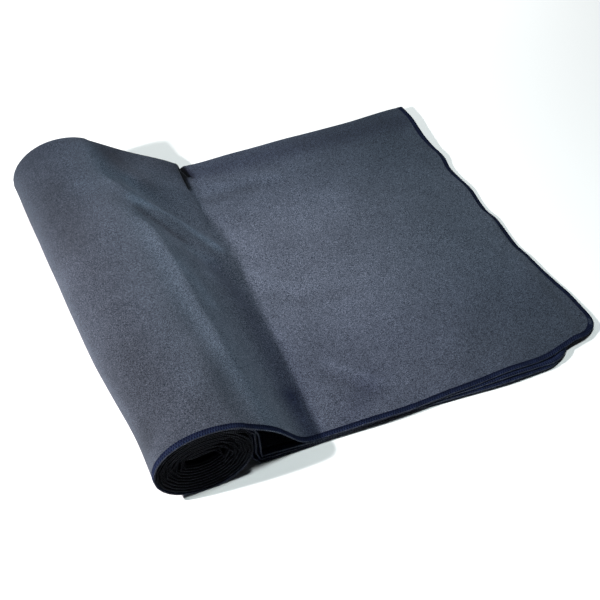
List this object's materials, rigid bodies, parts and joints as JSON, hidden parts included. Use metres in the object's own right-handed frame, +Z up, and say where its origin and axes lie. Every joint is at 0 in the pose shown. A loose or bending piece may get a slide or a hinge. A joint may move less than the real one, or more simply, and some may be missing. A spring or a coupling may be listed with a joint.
{
  "type": "yoga towel",
  "caption": "Suede-pile yoga towel, folded lengthwise and across, rolled up with its loose end laid out flat.",
  "frame": {"origin": "middle of the bounding box's underside, on the surface the towel lies on", "axes": "+X from the roll towards the loose end, +Y from the open edges back to the lengthwise folds, +Z up"},
  "size_m": [0.3328, 0.3122, 0.0584],
  "materials": {
    "cloth": "matt brushed suede pile with a faint heathered grain, overlocked edge in dark navy thread"
  },
  "bodies": {
    "root": {"towel": "cloth"}
  },
  "joints": []
}
